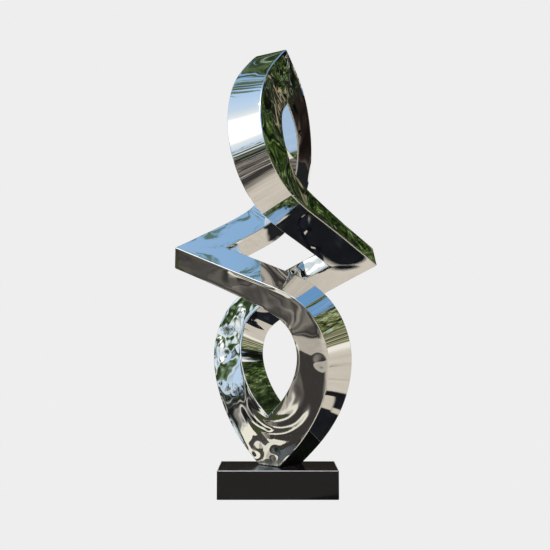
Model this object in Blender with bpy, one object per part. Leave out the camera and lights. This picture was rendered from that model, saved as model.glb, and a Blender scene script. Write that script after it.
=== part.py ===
"""A mirror-polished steel band that folds round a square and closes in a pointed loop above
and below it, standing on the cut tip of its lower loop on a black granite plinth.

The band is one closed ring of rectangular section. Half turns about three crossed axes carry
it nearly onto itself, so it is worked out as four quarters, each from the lower tip to the left
corner of the square, and three of them are turned into place. The band was made by hand: its
left arcs are fuller than its right ones, and its lower loop is a little longer than the upper.
Frame: +Z up, front at -Y, origin at the middle of the plinth's underside.
"""
from math import atan2, cos, radians, sin

import bmesh
import bpy
from mathutils import Matrix, Vector

MM = 0.001

# Plinth: a polished block with a narrow chamfer on its edges.
PLINTH_WIDTH = 195 * MM
PLINTH_DEPTH = 104 * MM
PLINTH_HEIGHT = 46 * MM
PLINTH_CHAMFER = 1.2 * MM

# Where the band stands on it.
SEAT_GAP = 0.3 * MM             # weld and seat left open, so that the two solids stay apart
FOOT_RIGHT = 5 * MM           # the foot's middle, from the plinth's middle
FOOT_BACK = 21.5 * MM
TURN = radians(9.8)             # right corner of the square swings away from the front
LEAN = radians(-1.32)           # the whole band leans to the left

# Band, measured from the middle of the square, along its middle line. Where there are two
# values, the first is for the right arcs and the second for the fuller left ones, or the first
# is for the lower loop and the second for the upper.
RIGHT, LEFT = 0, 1
LOWER, UPPER = 0, 1
MIDDLE_HEIGHT = 349.5 * MM      # above the plinth's top
CORNER_REACHES = (129.7 * MM, 133.6 * MM)   # to the square's left and right corners
TIP_REACHES = (315.6 * MM, 311.9 * MM)        # to the lower and upper tips
BAR_ANGLE = radians(45)         # a square's side against the line through its corners
SQUARE_TILT = radians(33)     # each V of the square tips about that line
TIP_ANGLE = radians(53.4)         # half the angle that the loop closes to at a tip
MITRE_LEANS = (radians(-0.7), radians(1.6))  # the tip's mitre off the loop's own axis
BAR_PULL = 156.7 * MM           # how far the square's straight side draws the curve along
TIP_PULL = 49.4 * MM            # the same for the straight start at the tip

# Section: deep bars of one depth, thick at the tips and thin in the square.
BAND_DEPTH = 61 * MM
THICK_AT_TIP = (80.1 * MM, 77.4 * MM)
THICK_PAST_TIP = 0.84           # of the thickness at the tip
THICK_AT_TURN = (61.3 * MM, 79.1 * MM)
THICK_IN_BAR = 39.3 * MM

# Points that pull the loop's flank, as (sideways, backward, upward) in the tip's own plane.
FLANK_LOW = (Vector((98.6, -19.4, -239.4)) * MM, Vector((99.7, -25.5, -241.9)) * MM)
FLANK_WIDE = (Vector((140.5, -45, -161.6)) * MM, Vector((152.5, -54.7, -164.3)) * MM)
FLANK_TURN = (Vector((129.4, -75.1, -93.4)) * MM, Vector((134.9, -72.1, -89.6)) * MM)
# How far the band's depth tips up from level on the way.
FLANK_TIPS = ((radians(2.7), radians(22.3)), (radians(7.9), radians(22.4)))

STEPS = 60                      # sections along a quarter
DEGREE = 3                      # of the curves
EASE = 4                        # how quickly the sections turn into a mitre at the ends
SMALL = 0.001                   # a short step along a quarter, to find which way it runs
LEAD = 0.033                    # the stretch whose line an arris keeps past an end

# Directions of the left V: along its front bar, square to its plane, and across its mitre.
BAR = Vector((cos(BAR_ANGLE), -sin(BAR_ANGLE) * cos(SQUARE_TILT), -sin(BAR_ANGLE) * sin(SQUARE_TILT)))
BAR_IN = Vector((sin(BAR_ANGLE), cos(BAR_ANGLE) * cos(SQUARE_TILT), cos(BAR_ANGLE) * sin(SQUARE_TILT)))
ACROSS_MITRE = Vector((0, cos(SQUARE_TILT), sin(SQUARE_TILT)))
# The band's depth keeps one compass bearing, and only tips up from level towards the bar.
BEARING = atan2(BAR_IN.x, BAR_IN.y)
TIP_IN_BAR = atan2(BAR_IN.z, Vector(BAR_IN.xy).length)
SIDEWAYS = Vector((cos(BEARING), -sin(BEARING), 0))
BACKWARD = Vector((sin(BEARING), cos(BEARING), 0))
UPWARD = Vector((0, 0, 1))


def blend(controls, t):
    """The value at t, 0 to 1, of the clamped B-spline with these control points or numbers."""
    spans = len(controls) - DEGREE
    knots = [0] * DEGREE + [i / spans for i in range(spans + 1)] + [1] * DEGREE
    last = DEGREE + min(int(t * spans), spans - 1)
    near = list(controls[last - DEGREE:last + 1])
    for level in range(1, DEGREE + 1):
        for i in range(DEGREE, level - 1, -1):
            low = knots[last - DEGREE + i]
            high = knots[last + 1 + i - level]
            share = (t - low) / (high - low)
            near[i] = near[i - 1] * (1 - share) + near[i] * share
    return near[DEGREE]


def in_tip_plane(point):
    return SIDEWAYS * point.x + BACKWARD * point.y + UPWARD * point.z


class Quarter:
    """A quarter of the band, from the lower tip to the left corner of the square. The quarters
    of the upper loop and of the left arcs are worked out there too, and turned later."""

    def __init__(self, arc, loop):
        tip = -UPWARD * TIP_REACHES[loop]
        corner = Vector((-CORNER_REACHES[arc], 0, 0))
        leave = SIDEWAYS * sin(TIP_ANGLE) + UPWARD * cos(TIP_ANGLE)
        flank = [in_tip_plane(points[arc]) for points in (FLANK_LOW, FLANK_WIDE, FLANK_TURN)]
        self.middle_line = [tip, tip + leave * TIP_PULL, *flank, corner + BAR * BAR_PULL,
                            corner + BAR * BAR_PULL / 2, corner]
        self.depth_tips = (0, 0, *FLANK_TIPS[arc], TIP_IN_BAR, TIP_IN_BAR)
        # A leaning mitre cuts the two bars that meet in it unequally, so their thickness differs.
        lean = MITRE_LEANS[loop] if arc == RIGHT else -MITRE_LEANS[loop]
        thick = THICK_AT_TIP[loop] * sin(TIP_ANGLE - lean) / sin(TIP_ANGLE)
        self.thicknesses = (thick, thick * THICK_PAST_TIP, THICK_AT_TURN[arc], THICK_IN_BAR, THICK_IN_BAR)
        self.tip = tip
        self.across_tip = SIDEWAYS * cos(lean) + UPWARD * sin(lean)

    def arris_point(self, outward, back, t):
        """A point on one of the four arrises: outward and back are +1 or -1, and t runs from 0
        at the tip to 1 at the corner. Beyond those the arris runs straight on."""
        if not 0 <= t <= 1:
            end = 0 if t < 0 else 1
            inner = LEAD if t < 0 else 1 - LEAD
            last = self.arris_point(outward, back, end)
            return last + (last - self.arris_point(outward, back, inner)) * (t - end) / (end - inner)
        before, after = max(t - SMALL, 0), min(t + SMALL, 1)
        along = (blend(self.middle_line, after) - blend(self.middle_line, before)).normalized()
        tip = blend(self.depth_tips, t)
        depth = BACKWARD * cos(tip) + UPWARD * sin(tip)
        depth = (depth - along * depth.dot(along)).normalized()
        out = along.cross(depth)
        if out.dot(SIDEWAYS + UPWARD * t) < 0:
            out = -out
        thickness = blend(self.thicknesses, t)
        return blend(self.middle_line, t) + out * outward * thickness / 2 + depth * back * BAND_DEPTH / 2

    def sections(self):
        """Four-cornered sections from the mitre at the tip to the mitre at the corner."""
        arrises = []
        for outward, back in ((1, -1), (1, 1), (-1, 1), (-1, -1)):
            def past_tip(t):
                return (self.arris_point(outward, back, t) - self.tip).dot(self.across_tip)

            def past_corner(t):
                return self.arris_point(outward, back, t).dot(ACROSS_MITRE)

            start = where_zero(past_tip, -0.15, 0.15)
            end = where_zero(past_corner, 0.85, 1.15)
            points = []
            for step in range(STEPS + 1):
                share = step / STEPS
                t = share + start * (1 - share) ** EASE + (end - 1) * share ** EASE
                points.append(self.arris_point(outward, back, t))
            arrises.append(points)
        return list(zip(*arrises))


def where_zero(height, low, high):
    """The t between low and high where height(t) passes zero, by halving."""
    rising = height(high) > height(low)
    for _ in range(40):
        middle = (low + high) / 2
        if (height(middle) > 0) == rising:
            high = middle
        else:
            low = middle
    return (low + high) / 2


def turned(sections, signs, order):
    """Sections carried by a half turn. Where it swaps the arrises, their order is changed to match."""
    turn = Matrix.Diagonal(signs)
    return [[turn @ section[i] for i in order] for section in sections]


def midway(section, other):
    return [(a + b) / 2 for a, b in zip(section, other)]


def ring_of_sections():
    """The whole band as one ring of sections, from the lower tip round by the left corner."""
    lower_right = turned(Quarter(RIGHT, LOWER).sections(), (1, 1, 1), (0, 1, 2, 3))
    upper_right = turned(Quarter(RIGHT, UPPER).sections(), (1, -1, -1), (3, 2, 1, 0))
    upper_left = turned(Quarter(LEFT, UPPER).sections(), (-1, 1, -1), (2, 3, 0, 1))
    lower_left = turned(Quarter(LEFT, LOWER).sections(), (-1, -1, 1), (1, 0, 3, 2))
    return [midway(lower_right[0], lower_left[0]), *lower_right[1:-1], *upper_right[:0:-1],
            midway(upper_right[0], upper_left[0]), *upper_left[1:-1], *lower_left[:0:-1]]


def principled(name, colour, metallic, roughness):
    material = bpy.data.materials.new(name)
    material.use_nodes = True
    shader = material.node_tree.nodes["Principled BSDF"]
    shader.inputs["Base Color"].default_value = (*colour, 1)
    shader.inputs["Metallic"].default_value = metallic
    shader.inputs["Roughness"].default_value = roughness
    material.diffuse_color = (*colour, 1)
    return material


def add_object(name, bm, material):
    bmesh.ops.recalc_face_normals(bm, faces=bm.faces)
    mesh = bpy.data.meshes.new(name)
    bm.to_mesh(mesh)
    bm.free()
    mesh.materials.append(material)
    piece = bpy.data.objects.new(name, mesh)
    bpy.context.scene.collection.objects.link(piece)
    return piece


def make_plinth():
    bm = bmesh.new()
    size = Matrix.Diagonal((PLINTH_WIDTH, PLINTH_DEPTH, PLINTH_HEIGHT, 1))
    bmesh.ops.create_cube(bm, size=1, matrix=Matrix.Translation((0, 0, PLINTH_HEIGHT / 2)) @ size)
    bmesh.ops.bevel(bm, geom=bm.edges, offset=PLINTH_CHAMFER, offset_type="OFFSET", affect="EDGES",
                    segments=1, profile=0.5, material=-1)
    return add_object("plinth", bm, principled("black_granite", (0.012, 0.012, 0.014), 0, 0.12))


def make_band():
    bm = bmesh.new()
    ring = [[bm.verts.new(point) for point in section] for section in ring_of_sections()]
    for section, following in zip(ring, ring[1:] + ring[:1]):
        for i in range(4):
            j = (i + 1) % 4
            bm.faces.new((section[i], section[j], following[j], following[i]))
    seat = Vector((FOOT_RIGHT, FOOT_BACK, PLINTH_HEIGHT))
    turned = Matrix.Rotation(LEAN, 4, "Y") @ Matrix.Rotation(TURN, 4, "Z")
    axis = turned @ UPWARD
    bm.transform(Matrix.Translation(seat + axis * MIDDLE_HEIGHT / axis.z) @ turned)
    cut = bmesh.ops.bisect_plane(bm, geom=bm.verts[:] + bm.edges[:] + bm.faces[:],
                                 plane_co=(0, 0, PLINTH_HEIGHT + SEAT_GAP), plane_no=(0, 0, 1), clear_inner=True)
    rim = [part for part in cut["geom_cut"] if isinstance(part, bmesh.types.BMEdge)]
    bmesh.ops.edgeloop_fill(bm, edges=rim)
    return add_object("steel_band", bm, principled("mirror_steel", (0.62, 0.62, 0.61), 1, 0.04))


def main():
    for old in list(bpy.data.objects):
        bpy.data.objects.remove(old)
    make_plinth()
    make_band()


main()
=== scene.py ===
# %% [markdown]
# # A mirror-polished steel band on a black granite plinth
#
# The sculpture is one closed band of welded stainless steel. It folds round a square in the
# middle and closes in a pointed loop above and below. A plain render would start from grey
# metal, but polished steel has no colour of its own: it shows what stands around it. So this
# lesson has two halves. One lays out a yard with sky, trees and sunlit paving for the steel to
# show. The other makes the surface: rolled strips smooth, cut sides wavy from hand polishing,
# and arrises ground narrow.

# %% Load the model
from math import cos, pi, radians, sin

import bmesh
import bpy
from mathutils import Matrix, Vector, kdtree, noise


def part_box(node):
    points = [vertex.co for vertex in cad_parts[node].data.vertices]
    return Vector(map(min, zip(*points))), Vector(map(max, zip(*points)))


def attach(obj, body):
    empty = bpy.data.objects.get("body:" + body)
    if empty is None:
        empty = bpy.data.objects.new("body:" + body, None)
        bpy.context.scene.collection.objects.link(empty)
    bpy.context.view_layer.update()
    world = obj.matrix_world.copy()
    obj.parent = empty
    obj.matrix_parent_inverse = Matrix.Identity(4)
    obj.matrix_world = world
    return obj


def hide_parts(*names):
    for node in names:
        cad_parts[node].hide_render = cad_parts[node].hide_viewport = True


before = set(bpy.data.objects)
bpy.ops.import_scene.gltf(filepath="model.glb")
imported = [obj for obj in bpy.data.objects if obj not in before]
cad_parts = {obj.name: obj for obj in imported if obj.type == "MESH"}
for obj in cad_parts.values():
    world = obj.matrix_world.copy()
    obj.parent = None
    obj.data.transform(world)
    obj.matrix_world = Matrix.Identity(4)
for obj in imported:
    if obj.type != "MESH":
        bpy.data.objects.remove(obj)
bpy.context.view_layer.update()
band_low, band_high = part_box("steel_band")
plinth_low, plinth_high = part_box("plinth")
print("band", band_low, band_high)
print("plinth", plinth_low, plinth_high)

MM = 0.001
CLOSE = 0.01 * MM               # points nearer than this are one point
scene = bpy.context.scene

# %% [markdown]
# ## A class for shader maths
#
# Materials are graphs of nodes. Wiring them by hand takes four lines for each sum, which hides
# the idea. A small class that wraps a socket lets Python's operators add the Math nodes, so a
# mask reads as `1 - edge * grain`. Colours don't go through it, because a Math node turns a
# colour grey; they have `over`, which is a Mix node.


# %% Sockets that can be added and multiplied
class Wire:
    """A socket of a shader node. Arithmetic on it adds Math nodes."""

    def __init__(self, socket):
        self.socket = socket
        self.tree = socket.id_data

    @staticmethod
    def node(tree, kind, settings, sockets, output=0):
        """Adds a node, sets its settings, then fills its sockets with values or other wires."""
        made = tree.nodes.new(kind)
        for name, value in settings.items():
            if name == "stops":
                stops = made.color_ramp.elements
                while len(stops) < len(value):
                    stops.new(0.5)
                for stop, (place, colour) in zip(stops, value):
                    stop.position = place
                    stop.color = (*colour, 1)
            else:
                setattr(made, name, value)
        for name, value in sockets.items():
            if isinstance(value, Wire):
                tree.links.new(value.socket, made.inputs[name])
            else:
                made.inputs[name].default_value = value
        return Wire(made.outputs[output])

    def maths(self, operation, *values):
        """A Math node on these values."""
        return Wire.node(self.tree, "ShaderNodeMath", {"operation": operation}, dict(enumerate(values)))

    def __add__(self, other):
        return self.maths("ADD", self, other)

    def __sub__(self, other):
        return self.maths("SUBTRACT", self, other)

    def __mul__(self, other):
        return self.maths("MULTIPLY", self, other)

    def __rsub__(self, other):
        return self.maths("SUBTRACT", other, self)

    __radd__ = __add__
    __rmul__ = __mul__

    def ease(self, low, high):
        """0 below low, 1 above high, and a smooth step between them."""
        return Wire.node(self.tree, "ShaderNodeMapRange", {"interpolation_type": "SMOOTHSTEP"},
                         {"Value": self, "From Min": low, "From Max": high})

    def window(self, low, high, soft):
        """1 from low to high, easing to 0 within soft outside them."""
        return self.ease(low - soft, low) * (1 - self.ease(high, high + soft))

    def over(self, colour, base):
        """The colour where this mask is 1, and the base where it is 0."""
        return Wire.node(self.tree, "ShaderNodeMix", {"data_type": "RGBA"}, {0: self, 6: base, 7: colour}, 2)

    def grain(self, scale, detail=3, roughness=0.5, distortion=0.0):
        """Cloudy noise at this place, 0 to 1."""
        return Wire.node(self.tree, "ShaderNodeTexNoise", {},
                         {"Vector": self, "Scale": scale, "Detail": detail, "Roughness": roughness,
                          "Distortion": distortion})

    def ramp(self, *stops):
        """A colour ramp. Each stop is a place from 0 to 1 and a colour."""
        return Wire.node(self.tree, "ShaderNodeValToRGB", {"stops": stops}, {"Fac": self})

    def stretched(self, x, y, z):
        """This vector with its parts multiplied."""
        return Wire.node(self.tree, "ShaderNodeVectorMath", {"operation": "MULTIPLY"},
                         {0: self, 1: (x, y, z)})

    def parts(self):
        """This vector's x, y and z."""
        return [Wire.node(self.tree, "ShaderNodeSeparateXYZ", {}, {0: self}, i) for i in range(3)]

    def joined(self, other):
        """A vector with this as x and the other as y."""
        return Wire.node(self.tree, "ShaderNodeCombineXYZ", {}, {0: self, 1: other})


def tint(code):
    """A colour from its six-figure screen code, as the linear values that shaders want."""
    parts = [int(code[i:i + 2], 16) / 255 for i in (0, 2, 4)]
    return tuple(part / 12.92 if part <= 0.04045 else ((part + 0.055) / 1.055) ** 2.4 for part in parts)


def rgba(code):
    """The same colour with full alpha, for a socket."""
    return (*tint(code), 1)


def new_material(name):
    """An empty material and its node tree."""
    material = bpy.data.materials.new(name)
    material.use_nodes = True
    return material, material.node_tree


print("mid grey", tint("808080"))

# %% [markdown]
# ## Camera
#
# A portrait lens a little below the middle of the work, tilted up slightly, so that the loops
# keep their true proportions and the plinth's top shows as a thin band.

# %% Set the camera
CAMERA_PLACE = Vector((-0.0046, -1.3737, 0.2516))
TILTED_UP = radians(4.657)
LENS, SENSOR = 53.36, 36        # millimetres
camera_data = bpy.data.cameras.new("camera")
camera_data.lens = LENS
camera_data.sensor_width = SENSOR
camera = bpy.data.objects.new("camera", camera_data)
camera.location = CAMERA_PLACE
camera.rotation_euler = (radians(90) + TILTED_UP, 0, 0)
scene.collection.objects.link(camera)
scene.camera = camera
scene.view_settings.view_transform = "Standard"
print("camera stands", round(-CAMERA_PLACE.y, 2), "m in front")

# %% [markdown]
# ## Pale studio floor
#
# To the eye the work stands on a plain pale sweep with no horizon. A lit floor would shade off
# towards the back, so it is simply given the backdrop's own light. It is hidden from
# reflections, because the steel has a yard of its own to show.


# %% Lay the floor
def flat_square(name, half, height, material):
    """A square lying level at this height."""
    bm = bmesh.new()
    bmesh.ops.create_grid(bm, x_segments=1, y_segments=1, size=half)
    bmesh.ops.translate(bm, verts=bm.verts, vec=(0, 0, height))
    mesh = bpy.data.meshes.new(name)
    bm.to_mesh(mesh)
    bm.free()
    mesh.materials.append(material)
    piece = bpy.data.objects.new(name, mesh)
    scene.collection.objects.link(piece)
    return piece


def seen_only_by(piece, **kinds):
    """Switches off every kind of ray for this piece but the ones named."""
    for kind in ("camera", "diffuse", "glossy", "transmission", "volume_scatter", "shadow"):
        setattr(piece, "visible_" + kind, kinds.get(kind, False))


BACKDROP = "EEEEEE"
FLOOR_HALF = 6
FLOOR_GAP = 0.1 * MM            # below the plinth, so that they don't share a plane
floor_material, tree = new_material("pale_floor")
glow = Wire.node(tree, "ShaderNodeEmission", {}, {"Color": rgba(BACKDROP)})
tree.links.new(glow.socket, tree.nodes["Material Output"].inputs["Surface"])
floor = flat_square("pale_floor", FLOOR_HALF, plinth_low.z - FLOOR_GAP, floor_material)
seen_only_by(floor, camera=True)
print("floor", 2 * FLOOR_HALF, "m wide")

# %% [markdown]
# ## Sunlit paving
#
# The steel looks down on pale paving. The sculpture's own shadow falls on it to the right, and
# the dappled shade of trees begins a step away to the left. The shadow could be painted on, but
# a lamp and a plain slab give one that moves rightly through each curve of the band. The slab
# is seen in reflections only. The same sun picks out the satin arrises.

# %% Find places on the paving
SHADE = (0.08, 0.20)            # where the near shade starts and is full, metres to the left
FAR_SHADE = (2.4, 3.2)          # and the far one, behind to the right
DIMMED = 0.25                   # the slab is darker, and the sun stronger by as much
PAVING_HALF = 14
PAVING_GAP = 0.2 * MM           # below the plinth
paving_material, tree = new_material("paving")
shader = tree.nodes["Principled BSDF"]
place = Wire.node(tree, "ShaderNodeTexCoord", {}, {}, "Object")
along, away, _ = place.parts()
# Steps towards the front left, and across that way.
outward = along * -0.77 + away * -0.64
sideways = along * 0.64 + away * -0.77
road_side = away - along * 0.42
print("near shade is full", SHADE[1], "m out")

# %% Paint the stone and what grows beside it
stone = place.grain(9, 5, 0.6).ease(0.3, 0.7).over(rgba("D8D0C2"), rgba("CBC2B3"))
# Darker streaks on the stone, drawn out across the way to the front left.
dark_streaks = (outward * 9).joined(sideways * 1.2).grain(1.6, 5, 0.6, 0.3).ease(0.60, 0.68) * 0.35
stone = dark_streaks.over(rgba("9A9184"), stone)
stone = (along.ease(1.2, 3.5) * (1 - road_side.ease(0, 0.4))).over(rgba("FAF5EA"), stone)
bush = along.window(0.8, 1.9, 0.06) * (1 - (away + place.grain(5, 4, 0.6) * 0.2).ease(0.22, 0.27))
stone = bush.over(rgba("4C4B38"), stone)
print("stone painted with", len(tree.nodes), "nodes")

# %% Shade it under the trees
# Painted shade of trees on the paving, lifted by painted soft light and streaks of sun.
blots = place.grain(3.0, 2, 0.5, 0.4)
shade = along * -0.87 + away * 0.5 + away.ease(-0.35, -0.15) * 0.05 + (blots - 0.5) * 0.25
shade = shade.ease(*SHADE)
sun_streaks = (outward * 2.6).joined(sideways * 0.7).grain(1.6, 4, 0.6, 0.3).ease(0.55, 0.61)
soft_light = place.grain(6, 1, 0.5, 0.8).ease(0.42, 0.72)
deep = (0 - along).ease(0.60, 0.78) * away.ease(-0.40, -0.20)
shade = shade * (1 - soft_light * (0.50 - deep * 0.42)) * (1 - sun_streaks * (0.70 - deep * 0.65))
far_shade = (along * 0.6 + away * 0.8).ease(*FAR_SHADE) * road_side.ease(0, 0.3)
paving_colour = shade.over(rgba("38342F"), stone)
grass = along.window(-1.5, -0.60, 0.04) * away.window(0.07, 0.6, 0.03)
paving_colour = (grass * 0.8).over(rgba("3B4519"), paving_colour)
sunny = along.window(-0.62, -0.38, 0.03) * away.window(-0.06, 0.03, 0.02)
paving_colour = (sunny * 0.9).over(rgba("F0EDDC"), paving_colour)
paving_colour = far_shade.over(rgba("191A14"), paving_colour)
shader.inputs["Roughness"].default_value = 1
shader.inputs["Specular IOR Level"].default_value = 0
print("paving painted with", len(tree.nodes), "nodes")


# %% Paint small dark and sunlit places into the sculpture's shadow
def spot(x, y, half_x, half_y, soft=0.006):
    """A small oblong place on the paving, round this point."""
    return along.window(x - half_x, x + half_x, soft) * away.window(y - half_y, y + half_y, soft)


# Painted shadow: a dark band behind the plinth, and a small dark patch over a spot of sun through
# the openings, both darker than the lamp's shadow. Three painted flecks of sun glow in it.
painted_shadow_band = spot(0.078, 0.215, 0.022, 0.05, 0.003)
painted_shade_patch = spot(0.152, 0.158, 0.012, 0.011, 0.003)
painted_sun_flecks = spot(0.270, 0.062, 0.036, 0.010) + spot(0.235, 0.088, 0.008, 0.009)
painted_sun_flecks = painted_sun_flecks + spot(0.150, 0.148, 0.004, 0.0006, 0.0008)
paving_colour = painted_shadow_band.maths("MAXIMUM", painted_shadow_band, painted_shade_patch).over(rgba("15161A"), paving_colour)
paving_colour = paving_colour.stretched(DIMMED, DIMMED, DIMMED)
tree.links.new(paving_colour.socket, shader.inputs["Base Color"])
# Painted skylight: the paving glows a faint sky blue, lighter in blotches, so that the shadow is not black.
painted_sky_blotches = place.grain(22, 2, 0.5, 1.5).ease(0.55, 0.75)
glow = painted_sky_blotches.over(rgba("2A2E36"), rgba("101319"))
glow = painted_sun_flecks.over(rgba("D0C7B8"), glow)
tree.links.new(glow.socket, shader.inputs["Emission Color"])
shader.inputs["Emission Strength"].default_value = 1
paving = flat_square("paving", PAVING_HALF, plinth_low.z - PAVING_GAP, paving_material)
seen_only_by(paving, glossy=True)
print("paving", 2 * PAVING_HALF, "m wide")


# %% Light it with the sun
def lamp(name, kind, energy, place, aim):
    """A lamp that stands at place and looks at aim."""
    data = bpy.data.lights.new(name, kind)
    data.energy = energy
    light = bpy.data.objects.new(name, data)
    light.location = place
    light.rotation_euler = (Vector(aim) - Vector(place)).to_track_quat("-Z", "Y").to_euler()
    scene.collection.objects.link(light)
    return light


def toward(bearing, height):
    """The direction at this bearing, 0 to the front and 90 to the right, and height, in degrees."""
    level = cos(radians(height))
    return Vector((sin(radians(bearing)) * level, -cos(radians(bearing)) * level, sin(radians(height))))


SUN_BEARING, SUN_HEIGHT, SUN_WIDTH = -95, 66.6, 1.0
SUN_AWAY = 3                    # a sun lamp shines the same from anywhere
# Strong enough to bring white stone to full white, whatever the slab is dimmed by.
full_sun = pi / sin(radians(SUN_HEIGHT)) / DIMMED
sun = lamp("sun", "SUN", full_sun, toward(SUN_BEARING, SUN_HEIGHT) * SUN_AWAY, (0, 0, 0))
sun.data.angle = radians(SUN_WIDTH)
print("sun comes from", toward(SUN_BEARING, SUN_HEIGHT))

# %% [markdown]
# ## Sky and trees
#
# Above the paving the steel shows a sky that whitens on the sun's side, and trees of different
# heights all round. They could be models, but thousands of leaves would be slow and nobody sees
# them except bent in the steel. The world shader is given the direction of each ray, so every
# part is placed by its bearing and its height in degrees, like a panorama drawn from the
# plinth. Only reflections see it: rays from the camera meet the pale backdrop.

# %% Find bearing and height
world = bpy.data.worlds.new("yard")
world.use_nodes = True
scene.world = world
world.cycles_visibility.diffuse = False     # the yard is seen, but lights nothing
tree = world.node_tree
tree.nodes.clear()
ray = Wire.node(tree, "ShaderNodeTexCoord", {}, {}, "Generated")
ray_x, ray_y, ray_z = ray.parts()
TO_DEGREES = 180 / pi
bearing = ray_x.maths("ARCTAN2", ray_x, 0 - ray_y) * TO_DEGREES
height = ray_z.maths("ARCSINE", ray_z) * TO_DEGREES


def nearness(centre_bearing, centre_height):
    """Cosine of the angle between the ray and this direction."""
    return Wire.node(tree, "ShaderNodeVectorMath", {"operation": "DOT_PRODUCT"},
                     {0: ray, 1: toward(centre_bearing, centre_height)}, "Value")


print("bearing and height take", len(tree.nodes), "nodes")

# %% Paint the sky
glare = nearness(-78, 38)
sky = glare.ramp((0.20, tint("6E9DCC")), (0.55, tint("9FC4EA")), (0.70, tint("B6D5F8")),
                 (0.82, tint("C4DDF8")), (0.90, tint("D0E4F8")), (0.935, tint("E4EFF6")),
                 (0.965, tint("FBFDFD")))
wisps = ray.stretched(1, 1, 3).grain(2.5, 3, 0.6).ease(0.52, 0.75)
sky = (wisps * 0.35).over(rgba("E4EDF5"), sky)
BRIGHT_CLOUD, HIGH_CLOUD = (1.5, 1.5, 1.5, 1), (1.8, 1.8, 1.8, 1)
sky = glare.ease(0.95, 0.985).over(BRIGHT_CLOUD, sky)
sky = nearness(-80, 78).ease(0.92, 0.97).over(HIGH_CLOUD, sky)
print("sky painted with", len(tree.nodes), "nodes")

# %% [markdown]
# ## Leaves
#
# A tree in a mirror is not one green. Dark gaps, lit leaves and bits of sky are mixed at every
# size, so each kind of leaf is a fine noise sent through a ramp from the gaps to the sky. Other
# noises, stretched tall or long, roughen the edges of the trees, because a band that bends one
# way draws everything out that way.

# %% Make rough edges
ragged = ray.grain(11, 3, 0.65) - 0.5
tall_fringe = (bearing * 1.1).joined(height * 0.15).grain(1, 4, 0.75) - 0.5
long_grain = (height * 1.5).joined(bearing * 0.06).grain(1, 5, 0.7, 0.2)
long_fringe = long_grain - 0.5
print("rough edges made with", len(tree.nodes), "nodes")

# %% Mix the leaves
leaves = ray.grain(38, 4, 0.75, 0.5) * 0.6 + ray.grain(8, 2, 0.6) * 0.4
near_leaves = leaves.ramp((0.38, tint("12160D")), (0.47, tint("28341D")), (0.53, tint("4A5A35")),
                          (0.59, tint("82945F")), (0.67, tint("CBD3B8")))
dark_leaves = leaves.ramp((0.42, tint("0E100B")), (0.51, tint("1C2117")), (0.56, tint("363F2E")),
                          (0.61, tint("69765B")), (0.69, tint("BBC3AC")))
fresh_leaves = leaves.ramp((0.42, tint("10160B")), (0.49, tint("2B3D1A")), (0.54, tint("52682F")),
                           (0.59, tint("93A872")), (0.65, tint("DCE5CB")))
high_leaves = (long_grain + ragged * 0.35).ramp(
    (0.34, tint("10160E")), (0.46, tint("26331F")), (0.54, tint("44563A")), (0.60, tint("75895C")),
    (0.65, tint("A9BDB4")), (0.70, tint("B4D0F4")))
twigs_and_leaves = (bearing * 1.3).joined(height * 0.30).grain(1, 4, 0.75, 0.4)
olive_leaves = twigs_and_leaves.ramp((0.36, tint("15160E")), (0.45, tint("3C4027")), (0.51, tint("6A7244")),
                                     (0.56, tint("96A066")), (0.61, tint("C9D2C4")), (0.68, tint("8FB2D6")))
bands = (height * 0.45).joined(bearing * 0.06).grain(1, 4, 0.75, 0.2)
hedge_leaves = bands.ramp((0.36, tint("14160F")), (0.45, tint("2E3526")), (0.52, tint("5B6455")),
                          (0.58, tint("B6BEBB")), (0.64, tint("EEF2F4")))
lanes = (height * 0.8).joined(bearing * 0.13).grain(1, 4, 0.6, 0.3).ramp(
    (0.38, tint("26271A")), (0.46, tint("66664A")), (0.54, tint("A9A786")), (0.62, tint("E9E5CE")))
print("leaves mixed with", len(tree.nodes), "nodes")


# %% Give trees and patches uneven outlines
def between(low, high, soft):
    """1 between two bearings, with a ragged edge."""
    return (bearing + ragged * 14).window(low, high, soft)


def crowns(base, paint, low, high, soft, top, rough=22):
    """Trees between two bearings, up to this height."""
    below_top = 1 - (height + ragged * rough).ease(top - 1.5, top + 1.5)
    return (between(low, high, soft) * below_top).over(paint, base)


def patch(base, paint, centre, half, rough=1.2):
    """An uneven patch at this bearing and height, with its half width and half height."""
    across = (bearing - centre[0]) * (1 / half[0])
    upright = (height - centre[1]) * (1 / half[1])
    reach = across * across + upright * upright + ragged * rough
    return (1 - reach.ease(0.8, 1.2)).over(paint, base)


# %% [markdown]
# ## Trees all round
#
# The yard is painted from the back forwards, each thing over the last, by bearing and height.
# Big trees stand to the front right, an olive to the right, more behind, and a hedge with dark
# marbled shade to the left. Under the trees behind, hardly any light gets in, so the far side
# of the upper loop shows gloom with a few pale ribbons and glints.

# %% Plant the trees to the front, right and back
yard = sky
yard = crowns(yard, near_leaves, -48, 0, 4, 16, 10)
yard = crowns(yard, near_leaves, 0, 85, 8, 42)
olive_trees = bearing.window(86, 108, 2) * (1 - (height + ragged * 10 + tall_fringe * 9).ease(37, 40))
yard = olive_trees.over(olive_leaves, yard)
yard = crowns(yard, near_leaves, 121, 181, 4, 45)
raised = height.maths("MAXIMUM", height - 48, 0) * 3
behind = (raised - bearing + long_fringe * 46).ease(157, 160)
yard = (behind * (1 - (height + ragged * 5).ease(54, 56))).over(high_leaves, yard)
yard = patch(yard, olive_leaves, (112, 51), (8, 1.6), 2.0)
yard = patch(yard, rgba("F8FAFA"), (115, 30), (7, 4.5), 1.2)
yard = patch(yard, rgba("2F3224"), (111, 21), (5, 2.6), 1.2)
sprigs = ray.stretched(0.3, 1, 1).grain(55, 4, 0.65).ease(0.54, 0.60)
sprigs = nearness(180, 59.5).ease(0.988, 0.996) * sprigs
yard = sprigs.over(rgba("5E7B70"), yard)
print("trees painted with", len(tree.nodes), "nodes")

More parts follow.
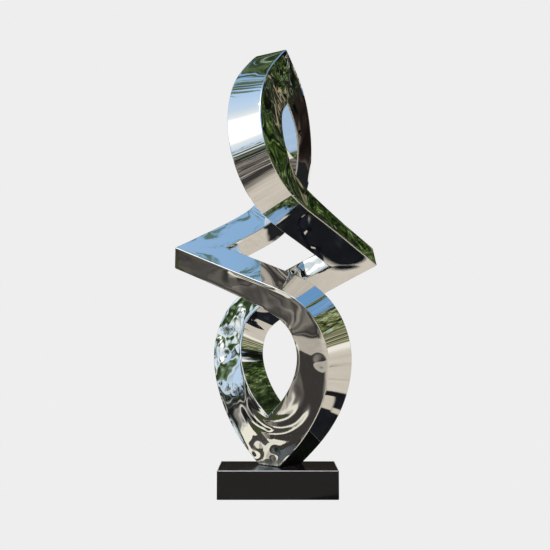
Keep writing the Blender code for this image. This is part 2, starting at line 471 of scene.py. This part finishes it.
# %% Plant the left
twigs = ray.grain(7, 3, 0.5, 0.8)
twig_colours = twigs.ramp((0.50, tint("A9BBB0")), (0.54, tint("7F9571")), (0.59, tint("3F5034")),
                          (0.66, tint("161C12")))
yard = (twigs.ease(0.495, 0.51) * nearness(-91, 22).ease(0.965, 0.985)).over(twig_colours, yard)
haze = ray.grain(16, 4, 0.65, 0.5).ease(0.42, 0.62) * nearness(-93, 37).ease(0.985, 0.995)
yard = (haze * 0.8).over(rgba("AEBFC6"), yard)
hedge = bearing.window(-128, -44, 6) * (1 - (height + ragged * 8 + tall_fringe * 26).ease(12, 15))
yard = hedge.over((height + tall_fringe * 12).ease(-2, 3).over(hedge_leaves, rgba("242320")), yard)
left_dark = bearing.window(-118, -84, 4) * (1 - (height + ragged * 10).ease(8, 12))
marble = (height * 0.22).joined(bearing * 0.05).grain(1, 2, 0.5, 0.6).ramp(
    (0.42, tint("1D1E1D")), (0.52, tint("3B3C3A")), (0.58, tint("8C8A84")), (0.64, tint("DAD8D2")))
yard = left_dark.over(marble, yard)
yard = patch(yard, rgba("F7F4E2"), (-88, 0), (14, 6), 0.8)
print("the left painted with", len(tree.nodes), "nodes")

# %% Paint the gloom under them
squiggles = ray.grain(3.0, 2, 0.45, 0.8).window(0.475, 0.525, 0.010)
areas = ray.grain(8.5, 2, 0.5, 1.0)
gloom = ray.stretched(1, 1, 0.4).grain(10, 3, 0.65).ramp(
    (0.44, tint("0B0D09")), (0.57, tint("1B1F16")), (0.66, tint("343827")), (0.76, tint("5C5844")))
gloom = areas.ease(0.51, 0.55).over(dark_leaves, gloom)
umber = ray.grain(4, 2, 0.5, 0.6).ramp(
    (0.40, tint("191412")), (0.55, tint("2B2320")), (0.66, tint("5A5048")))
gloom = (1 - (height + ragged * 8).ease(12, 15)).over(umber, gloom)
gloom = (areas.ease(0.60, 0.64) * height.ease(18, 22)).over(near_leaves, gloom)
gloom = (squiggles * bearing.window(144, 164, 3)).over(rgba("B0A78C"), gloom)
ribbon = ray.grain(4.2, 1, 0.5, 1.0)
gloom = (ribbon.window(0.455, 0.565, 0.006) * bearing.window(140, 152, 2)).over(rgba("120F0C"), gloom)
gloom = (ribbon.window(0.475, 0.545, 0.012) * bearing.window(141, 151, 2)).over(rgba("A3977B"), gloom)
glints = ray.grain(5, 1, 0.5, 1.5).window(0.494, 0.506, 0.005) * bearing.window(112, 141, 4)
gloom = (glints * height.ease(15, 22) * 0.8).over(rgba("DADCD2"), gloom)
print("gloom painted with", len(tree.nodes), "nodes")

# %% Lay the gloom in place
under = between(112, 168, 3)
yard = (under * (1 - (height + ragged * 8).ease(29, 32))).over(dark_leaves, yard)
yard = (under * (1 - (height + ragged * 14).ease(22, 24))).over(gloom, yard)
lively = bearing.window(125, 141, 2) * (height + ragged * 10).window(21, 36, 2) * areas.ease(0.44, 0.50)
yard = lively.over(fresh_leaves, yard)
yard = (bearing.window(92, 109, 1.5) * (1 - (height + ragged * 8).ease(11, 14))).over(lanes, yard)
far_dark = bearing.maths("ABSOLUTE", bearing).ease(150, 170) * (1 - (height + ragged * 10).ease(20, 28))
yard = far_dark.over(rgba("3B3631"), yard)
print("gloom in place with", len(tree.nodes), "nodes")

# %% Show it to reflections, and the backdrop to the camera
path = Wire.node(tree, "ShaderNodeLightPath", {}, {}, "Is Camera Ray")
seen = path.over(rgba(BACKDROP), yard)
lit = Wire.node(tree, "ShaderNodeBackground", {}, {"Color": seen})
output = tree.nodes.new("ShaderNodeOutputWorld")
tree.links.new(lit.socket, output.inputs["Surface"])
print("yard painted with", len(tree.nodes), "nodes")

# %% [markdown]
# ## The band, back to clean quads
#
# The band's faces have to be smooth to a few hundredths of a millimetre, because a mirror shows
# every facet. The model has the right form in 1932 triangles. They could be smoothed as they
# are, but the diagonals would pull the reflections about. So a copy is merged and every
# diagonal is taken out. To tell a diagonal from a section, the corners are numbered along the
# four arrises, starting from the fold at the top: an edge across a face joins corners of one
# number if it belongs to a section, and of two numbers if it is a diagonal.


# %% Merge a copy and find its folds
def walk(starts, neighbours):
    """How many steps each thing is from the starts, going from neighbour to neighbour."""
    steps = {start: 0 for start in starts}
    queue = list(starts)
    for thing in queue:
        for other in neighbours(thing):
            if other not in steps:
                steps[other] = steps[thing] + 1
                queue.append(other)
    return steps


FOLD = radians(60)              # sharper than this is an arris or a mitre
LONGEST_STEP = 30 * MM          # the sections stand closer than this
band = bmesh.new()
band.from_mesh(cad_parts["steel_band"].data)
crease = band.edges.layers.float.new("crease_edge")
bmesh.ops.remove_doubles(band, verts=band.verts, dist=CLOSE)
folds = [edge for edge in band.edges if edge.calc_face_angle() > FOLD]
arrises = {edge for edge in folds if edge.calc_length() < LONGEST_STEP}
mitres = {edge for edge in folds if edge.calc_length() > LONGEST_STEP}
print(len(band.faces), "faces,", len(arrises), "arris edges,", len(mitres), "mitre folds")

# %% Take out the diagonals
top_fifth = (band_low.z + 4 * band_high.z) / 5
top_fold = [vert for edge in mitres for vert in edge.verts if vert.co.z > top_fifth]
number = walk(top_fold, lambda vert: [edge.other_vert(vert) for edge in vert.link_edges if edge in arrises])
diagonals = [edge for edge in band.edges if edge not in arrises
             and all(vert in number for vert in edge.verts)
             and number[edge.verts[0]] != number[edge.verts[1]]]
bmesh.ops.dissolve_edges(band, edges=diagonals, use_verts=False, use_face_split=False)
print(len(diagonals), "diagonals out,", len(band.faces), "faces left")

# %% [markdown]
# ## Rolled strips and cut sides
#
# A maker rolls two of the band's four strips to their curves, and cuts the other two, the
# sides, to the outline from flat sheet and beats them to the twist. The rolled strips stay
# true mirrors. The sides get wavy under the polishing wheel. The rolled strips are the ones
# that meet in the folds at the two tips, so a walk from those folds finds them.

# %% Sort the faces into strips
ROLLED, SIDE, ARRIS = range(3)
foot = min(vert.co.z for vert in band.verts)


def sole_faces():
    """The faces that lie flat at the foot."""
    return {face for face in band.faces if all(vert.co.z < foot + CLOSE for vert in face.verts)}


bmesh.ops.dissolve_faces(band, faces=list(sole_faces()))
sole = sole_faces()
rim = {edge for face in sole for edge in face.edges}
top_faces = [face for edge in mitres for face in edge.link_faces if edge.verts[0] in top_fold]
rolled = walk(top_faces, lambda face: [other for edge in face.edges if edge not in arrises | rim
                                       for other in edge.link_faces])
for face in band.faces:
    face.smooth = True
    face.material_index = ROLLED if face in rolled or face in sole else SIDE
mitre_ends = {vert for edge in mitres for vert in edge.verts}
seams = arrises | rim | {edge for edge in band.edges if mitre_ends.issuperset(edge.verts)}
for edge in seams:
    edge[crease] = 1
print(len(sole), "sole with", len(rim), "edges;", len(rolled), "rolled faces;", len(seams), "seam edges")

# %% [markdown]
# ## From quads to a fine mesh
#
# A subdivision surface rounds the quads into smooth curves, and creases keep the folds. But a
# strip that is one long quad wide would stay flat across, with nothing to wave. So the edges
# that cross each strip, its rungs, are cut first, more finely on the sides.

# %% Cut the rungs
ROLLED_CUTS, SIDE_CUTS = 3, 5
on_arris = {vert for edge in arrises for vert in edge.verts}
rungs = [edge for edge in band.edges if edge not in arrises | rim and on_arris.issuperset(edge.verts)]
for strip, cuts in ((ROLLED, ROLLED_CUTS), (SIDE, SIDE_CUTS)):
    chosen = [edge for edge in rungs if edge.link_faces[0].material_index == strip]
    bmesh.ops.subdivide_edges(band, edges=chosen, cuts=cuts, use_grid_fill=True)
print(len(band.faces), "faces")


# %% Smooth it, keeping the folds sharp
SMOOTHINGS = 2


def to_object(bm, name):
    """Puts a finished bmesh into an object of its own."""
    mesh = bpy.data.meshes.new(name)
    bm.to_mesh(mesh)
    bm.free()
    piece = bpy.data.objects.new(name, mesh)
    scene.collection.objects.link(piece)
    return piece


steel = to_object(band, "mirror_band")
smooth = steel.modifiers.new("smooth", "SUBSURF")
smooth.levels = smooth.render_levels = SMOOTHINGS
evaluated = steel.evaluated_get(bpy.context.evaluated_depsgraph_get())
fine = bpy.data.meshes.new_from_object(evaluated)
steel.modifiers.clear()
steel.data = fine
print(len(fine.polygons), "fine faces")

# %% [markdown]
# ## Waves left by the polishing wheel
#
# Thin sheet flexes under the wheel, and ends up a millimetre or two high and low. Paint would
# hide that, but a mirror turns it into pools, rings and marbling. A bump map could fake
# it, but would not bend the reflections along the outline, so the fine mesh itself is moved.
# The waves die out at the arrises, where the seams hold the sheet. Where the wheel dwelt there
# are dents, which show the yard upside down in rings.

# %% Say how the sides were worked
SLOW_WAVE = (75 * MM, 1.9 * MM)             # length and height
POOLS = (34 * MM, 0.40 * MM)
RIPPLES = (15 * MM, 0.06 * MM)
ROLLED_SHARE = 0.03                         # of the sides' waves, on the rolled strips
APART = Vector((7, 3, 5))                   # so that the three kinds don't share their noise
HELD = 7 * MM                               # as far in from an arris as its seam holds the sheet
# Where the wheel dwelt: middle, reach and depth; a negative depth is a bump.
DENTS = (
    (Vector((-0.005, -0.010, 0.067)), 15 * MM, 1.3 * MM),
    (Vector((-0.034, 0.016, 0.070)), 17 * MM, 1.5 * MM),
    (Vector((-0.014, -0.003, 0.098)), 12 * MM, -0.9 * MM),
    (Vector((-0.097, 0.130, 0.224)), 16 * MM, 2.0 * MM),
    (Vector((-0.068, 0.131, 0.305)), 13 * MM, -1.2 * MM),
    (Vector((0.064, -0.129, 0.220)), 16 * MM, 0.8 * MM),
    (Vector((0.003, -0.070, 0.634)), 20 * MM, 1.8 * MM),
    (Vector((-0.008, -0.125, 0.600)), 16 * MM, -1.2 * MM),
)
# Stretches that the wheel left rougher: middle, reach, and how many times the usual pools.
ROUGHER = (
    (Vector((-0.080, 0.130, 0.270)), 110 * MM, 5.0),
    (Vector((0.000, -0.050, 0.640)), 120 * MM, 2.5),
)
# The wheel was run round the openings in passes: middle, nearest and farthest, height, length.
PASSES = (
    (Vector((0.000, -0.010, 0.215)), 80 * MM, 132 * MM, 0.75 * MM, 22 * MM, -1),
    (Vector((0.000, -0.020, 0.560)), 85 * MM, 150 * MM, 0.55 * MM, 28 * MM, 1),
)


# %% Find how far a point moves
def dome(distance, reach):
    """1 in the middle, 0 beyond reach, and smooth."""
    inside = max(1 - (distance / reach) ** 2, 0)
    return inside * inside


def wave(place):
    """How far the sheet stands out at this place."""
    swell = 0
    rougher = 1 + sum(more * dome((place - middle).length, reach) for middle, reach, more in ROUGHER)
    for number, (length, size) in enumerate((SLOW_WAVE, POOLS, RIPPLES)):
        swell += noise.noise(place / length + APART * number) * size * (rougher if number else 1)
    for middle, nearest, farthest, size, length, side in PASSES:
        spoke = place - middle
        where = (spoke.length - nearest) / (farthest - nearest)
        if 0 < where < 1 and spoke.z * side > 0:
            lift = (spoke.z / spoke.length) ** 4
            fading = 4 * where * (1 - where)
            swell += sin(2 * pi * spoke.length / length) * size * fading * lift
    return swell - sum(deep * dome((place - middle).length, reach) for middle, reach, deep in DENTS)


print("deepest dent", max(deep for _, _, deep in DENTS) / MM, "mm")

# %% Move the sides in and out
wavy = bmesh.new()
wavy.from_mesh(fine)
kept_crease = wavy.edges.layers.float["crease_edge"]
seamed = [edge for edge in wavy.edges if edge[kept_crease] > 0.5]
nearest_seam = kdtree.KDTree(len(seamed))
for edge in seamed:
    nearest_seam.insert((edge.verts[0].co + edge.verts[1].co) / 2, edge.index)
nearest_seam.balance()
shifts = {}
for vert in wavy.verts:
    held = min(nearest_seam.find(vert.co)[2] / HELD, 1)
    share = 1 if vert.link_faces[0].material_index == SIDE else ROLLED_SHARE
    shifts[vert] = vert.normal * wave(vert.co) * share * held * held * (3 - 2 * held)
for vert, shift in shifts.items():
    vert.co += shift
print("largest wave", round(max(shift.length for shift in shifts.values()) / MM, 2), "mm")

# %% [markdown]
# ## Ground arrises
#
# Each seam is welded, then ground to a narrow rounded land, which catches a line of light. A
# bevel makes it. Its faces get their own finish and hard borders, so that the rounding doesn't
# bleed into the mirrors beside it.

# %% Bevel every fold
LAND = 1.3 * MM
above_foot = [edge for edge in seamed if max(vert.co.z for vert in edge.verts) > foot + CLOSE]
bevel = bmesh.ops.bevel(wavy, geom=above_foot, offset=LAND, offset_type="OFFSET", affect="EDGES", segments=4,
                        profile=0.5, material=-1, clamp_overlap=False)
lands = set(bevel["faces"])
for face in lands:
    face.material_index = ARRIS
    face.smooth = True
for edge in wavy.edges:
    edge.smooth = len({face.material_index == ARRIS for face in edge.link_faces}) == 1
widths = sorted(min(edge.calc_length() for edge in face.edges) for face in lands)
print("land strips", round(widths[len(widths) // 2] / MM, 2), "mm wide, narrowest", round(widths[0] / MM, 2))
wavy.to_mesh(steel.data)
wavy.free()
print(len(steel.data.polygons), "faces with lands")

# %% [markdown]
# ## Mirror steel
#
# Polished stainless is a plain metal with almost no roughness. What gives it away as real is
# small: polish haze, where the roughness rises a little in soft patches, and on the sides a
# faint orange peel from the wheel.


# %% Make the three finishes
def steel_finish(name, colour, smooth_at, hazy_at, haze_scale, peel=0.0):
    """Steel whose roughness drifts between two values, with orange peel this deep."""
    material, tree = new_material(name)
    shader = tree.nodes["Principled BSDF"]
    place = Wire.node(tree, "ShaderNodeTexCoord", {}, {}, "Object")
    haze = place.grain(haze_scale, 4, 0.6).ease(0.45, 0.75)
    roughness = haze * (hazy_at - smooth_at) + smooth_at
    tree.links.new(roughness.socket, shader.inputs["Roughness"])
    if peel:
        skin = Wire.node(tree, "ShaderNodeBump", {},
                         {"Height": place.grain(150, 2, 0.5), "Distance": peel})
        tree.links.new(skin.socket, shader.inputs["Normal"])
    shader.inputs["Base Color"].default_value = rgba(colour)
    shader.inputs["Metallic"].default_value = 1
    return material


steel.data.materials.clear()
for finish in (("rolled_mirror", "EFEFEE", 0.012, 0.03, 25),
               ("hand_polished_mirror", "EDEDEB", 0.015, 0.05, 40, 0.02 * MM),
               ("ground_arris", "F6F6F5", 0.24, 0.34, 90)):
    steel.data.materials.append(steel_finish(*finish))
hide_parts("steel_band")
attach(steel, "root")
print("steel finishes", [material.name for material in steel.data.materials])

# %% [markdown]
# ## Granite plinth
#
# A block of black granite, sawn, polished and lightly chamfered. Its faces are dark mirrors.
# The chamfer round the top is ground, and painted near white as well: a painted highlight
# that shows as a pale line. The model's block has one plain chamfer, so a new block is made
# with rounded ones, and the faces on them are sorted out by their slope.

# %% Cut the block
CHAMFER = 1.2 * MM
POLISHED, GROUND_HIGHLIT = range(2)
block = bmesh.new()
bmesh.ops.create_cube(block, size=1)
bmesh.ops.scale(block, verts=block.verts, vec=plinth_high - plinth_low)
bmesh.ops.translate(block, verts=block.verts, vec=(plinth_high + plinth_low) / 2)
bmesh.ops.bevel(block, geom=block.edges, offset=CHAMFER, offset_type="OFFSET", affect="EDGES", segments=3,
                profile=0.5, material=-1)
for face in block.faces:
    face.smooth = max(abs(part) for part in face.normal) <= 0.999
    # Only the chamfer round the top is left ground and painted near white, a painted highlight;
    # its faces slope.
    face.material_index = GROUND_HIGHLIT if 0.1 < face.normal.z < 0.99 else POLISHED
granite = to_object(block, "granite_block")
print(len(granite.data.polygons), "granite faces")


# %% Make polished and ground granite
def granite_finish(name, dark, speck, smooth_at, rough_at):
    """Granite with fine specks in drifts, and a roughness that drifts with them."""
    material, tree = new_material(name)
    shader = tree.nodes["Principled BSDF"]
    place = Wire.node(tree, "ShaderNodeTexCoord", {}, {}, "Object")
    crystals = place.grain(700, 3, 0.6)
    cloud = place.grain(30, 3, 0.5).ease(0.35, 0.65)
    stone = (crystals.ease(0.58, 0.72) * (cloud * 0.5 + 0.5)).over(rgba(speck), rgba(dark))
    tree.links.new(stone.socket, shader.inputs["Base Color"])
    roughness = cloud * (rough_at - smooth_at) + smooth_at
    tree.links.new(roughness.socket, shader.inputs["Roughness"])
    shader.inputs["Specular IOR Level"].default_value = 0.25
    return material


granite.data.materials.append(granite_finish("polished_granite", "1A1B1D", "252628", 0.12, 0.18))
# The top chamfer is paler ground stone, painted near white as a highlight along the top.
granite.data.materials.append(granite_finish("ground_granite", "E2E2E4", "ECECEE", 0.35, 0.45))
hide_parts("plinth")
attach(granite, "root")
print("granite finishes", [material.name for material in granite.data.materials])

# %% [markdown]
# ## A soft box, and what each lamp lights
#
# A soft box to the front left brings up the granite's ground chamfer. The steel would show it
# as a white square, so it is hidden from reflections, and a lamp like that can't light bare
# metal at all. Light linking gives each lamp its own pieces. The sun would make one half of
# the chamfer glare, so it is kept to the paving and the steel. The soft box would fill the
# shadow on the paving, so it is kept to the granite.

# %% Light the front softly
SOFT_BOX_POWER, SOFT_BOX_SIDE = 24, 1.0
SOFT_BOX_PLACE = (-0.5, -1.6, 0.9)
soft = lamp("soft_box", "AREA", SOFT_BOX_POWER, SOFT_BOX_PLACE, (0, 0, 0.02))
soft.data.size = SOFT_BOX_SIDE
soft.visible_glossy = False
for light, pieces in ((sun, (paving, steel)), (soft, (granite,))):
    lit_pieces = bpy.data.collections.new("lit_by_" + light.name)
    for piece in pieces:
        lit_pieces.objects.link(piece)
    light.light_linking.receiver_collection = lit_pieces
    print(light.name, "lights", [piece.name for piece in pieces])
